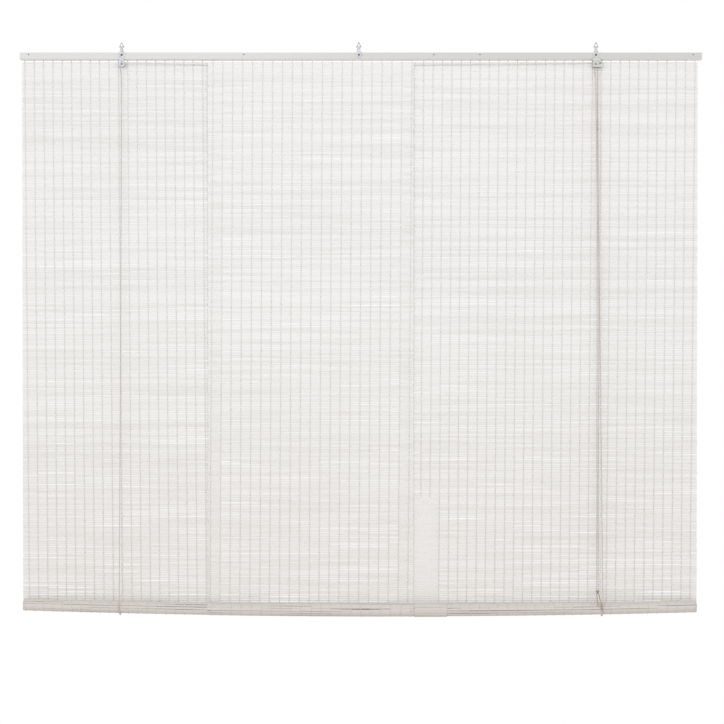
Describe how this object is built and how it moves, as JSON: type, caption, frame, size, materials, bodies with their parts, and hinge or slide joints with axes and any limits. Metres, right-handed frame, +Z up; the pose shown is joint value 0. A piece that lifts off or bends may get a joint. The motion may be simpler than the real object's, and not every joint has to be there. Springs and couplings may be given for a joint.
{
  "type": "bamboo roller blind",
  "caption": "White-painted bamboo roll-up blind: woven slat mats hang from a head rail and wind up on a bottom roll by lift cords over a pulley and a cord lock.",
  "frame": {"origin": "centre of the back face of the head rail, which lies on the wall", "axes": "+X along the rail to the right seen from the room, +Y back to the wall, +Z up"},
  "size_m": [2, 0.0555, 1.6804],
  "materials": {
    "painted_wood": "white paint, satin",
    "painted_bamboo": "thin white paint, matt",
    "warp_thread": "twisted cotton thread",
    "bare_wood": "bare, sanded",
    "zinc_plate": "zinc plated, satin",
    "dark_steel": "dark steel",
    "wheel_metal": "turned",
    "rivet_metal": "zinc plated",
    "white_cord": "braided cord"
  },
  "bodies": {
    "head": {"front_batten": "painted_wood", "back_batten": "painted_wood", "rail_nails": "dark_steel", "left_mat": "painted_bamboo", "middle_mat": "painted_bamboo", "right_mat": "painted_bamboo", "left_warps": "warp_thread", "middle_warps": "warp_thread", "right_warps": "warp_thread", "pulley_bracket": "zinc_plate", "middle_hanger_plate": "zinc_plate", "lock_body": "zinc_plate", "plate_screws": "dark_steel", "pulley_axle": "rivet_metal", "lock_axle": "rivet_metal", "lock_cam_pin": "rivet_metal", "left_lift_cord_front": "white_cord", "left_lift_cord_back": "white_cord", "right_lift_cord_front": "white_cord", "right_lift_cord_back": "white_cord", "transfer_cord": "white_cord", "rear_pull_cord": "white_cord", "front_pull_cord": "white_cord", "pull_knot": "white_cord", "short_tail": "white_cord", "long_tail": "white_cord", "stop_knots": "white_cord"},
    "left_ring": {"left_ring": "zinc_plate"},
    "middle_ring": {"middle_ring": "zinc_plate"},
    "right_ring": {"right_ring": "zinc_plate"},
    "pulley_wheel": {"pulley_wheel": "wheel_metal"},
    "lock_wheel": {"lock_wheel": "wheel_metal"},
    "lock_cam": {"lock_cam": "rivet_metal"},
    "cord_loops": {"left_cord_loop": "white_cord", "right_cord_loop": "white_cord"},
    "bottom_roll": {"bottom_roll": "painted_bamboo", "roll_rod": "bare_wood"}
  },
  "joints": [
    {"name": "roll_lift", "type": "slide", "parent": "head", "child": "cord_loops", "axis": [0, 0, 1], "range_m": [0, 1.45], "deforming": ["left_mat", "middle_mat", "right_mat", "left_warps", "middle_warps", "right_warps", "left_lift_cord_front", "left_lift_cord_back", "right_lift_cord_front", "right_lift_cord_back", "rear_pull_cord", "front_pull_cord", "pull_knot", "short_tail", "long_tail"]},
    {"name": "roll_turn", "type": "hinge", "parent": "cord_loops", "child": "bottom_roll", "pos_m": [0, -0.03225, -1.616], "axis": [1, 0, 0], "range_deg": [-2880, 0]},
    {"name": "pulley_spin", "type": "hinge", "parent": "head", "child": "pulley_wheel", "pos_m": [-0.701, -0.0191, -0.0238], "axis": [0, 1, 0], "continuous": true},
    {"name": "lock_wheel_spin", "type": "hinge", "parent": "head", "child": "lock_wheel", "pos_m": [0.689, -0.0174, -0.0238], "axis": [0, 1, 0], "continuous": true},
    {"name": "lock_cam_swing", "type": "hinge", "parent": "head", "child": "lock_cam", "pos_m": [0.7016, -0.0174, -0.021], "axis": [0, 1, 0], "range_deg": [0, 35]},
    {"name": "left_ring_swing", "type": "hinge", "parent": "head", "child": "left_ring", "pos_m": [-0.701, -0.021, 0.026], "axis": [1, 0, 0], "range_deg": [-100, 100]},
    {"name": "middle_ring_swing", "type": "hinge", "parent": "head", "child": "middle_ring", "pos_m": [-0.006, -0.021, 0.026], "axis": [1, 0, 0], "range_deg": [-100, 100]},
    {"name": "right_ring_swing", "type": "hinge", "parent": "head", "child": "right_ring", "pos_m": [0.689, -0.021, 0.026], "axis": [1, 0, 0], "range_deg": [-100, 100]}
  ],
  "couplings": [
    {"joint": "roll_turn", "follows": "roll_lift", "rad_per_m": -34.66},
    {"joint": "pulley_spin", "follows": "roll_lift", "rad_per_m": 384.6},
    {"joint": "lock_wheel_spin", "follows": "roll_lift", "rad_per_m": 384.6}
  ]
}
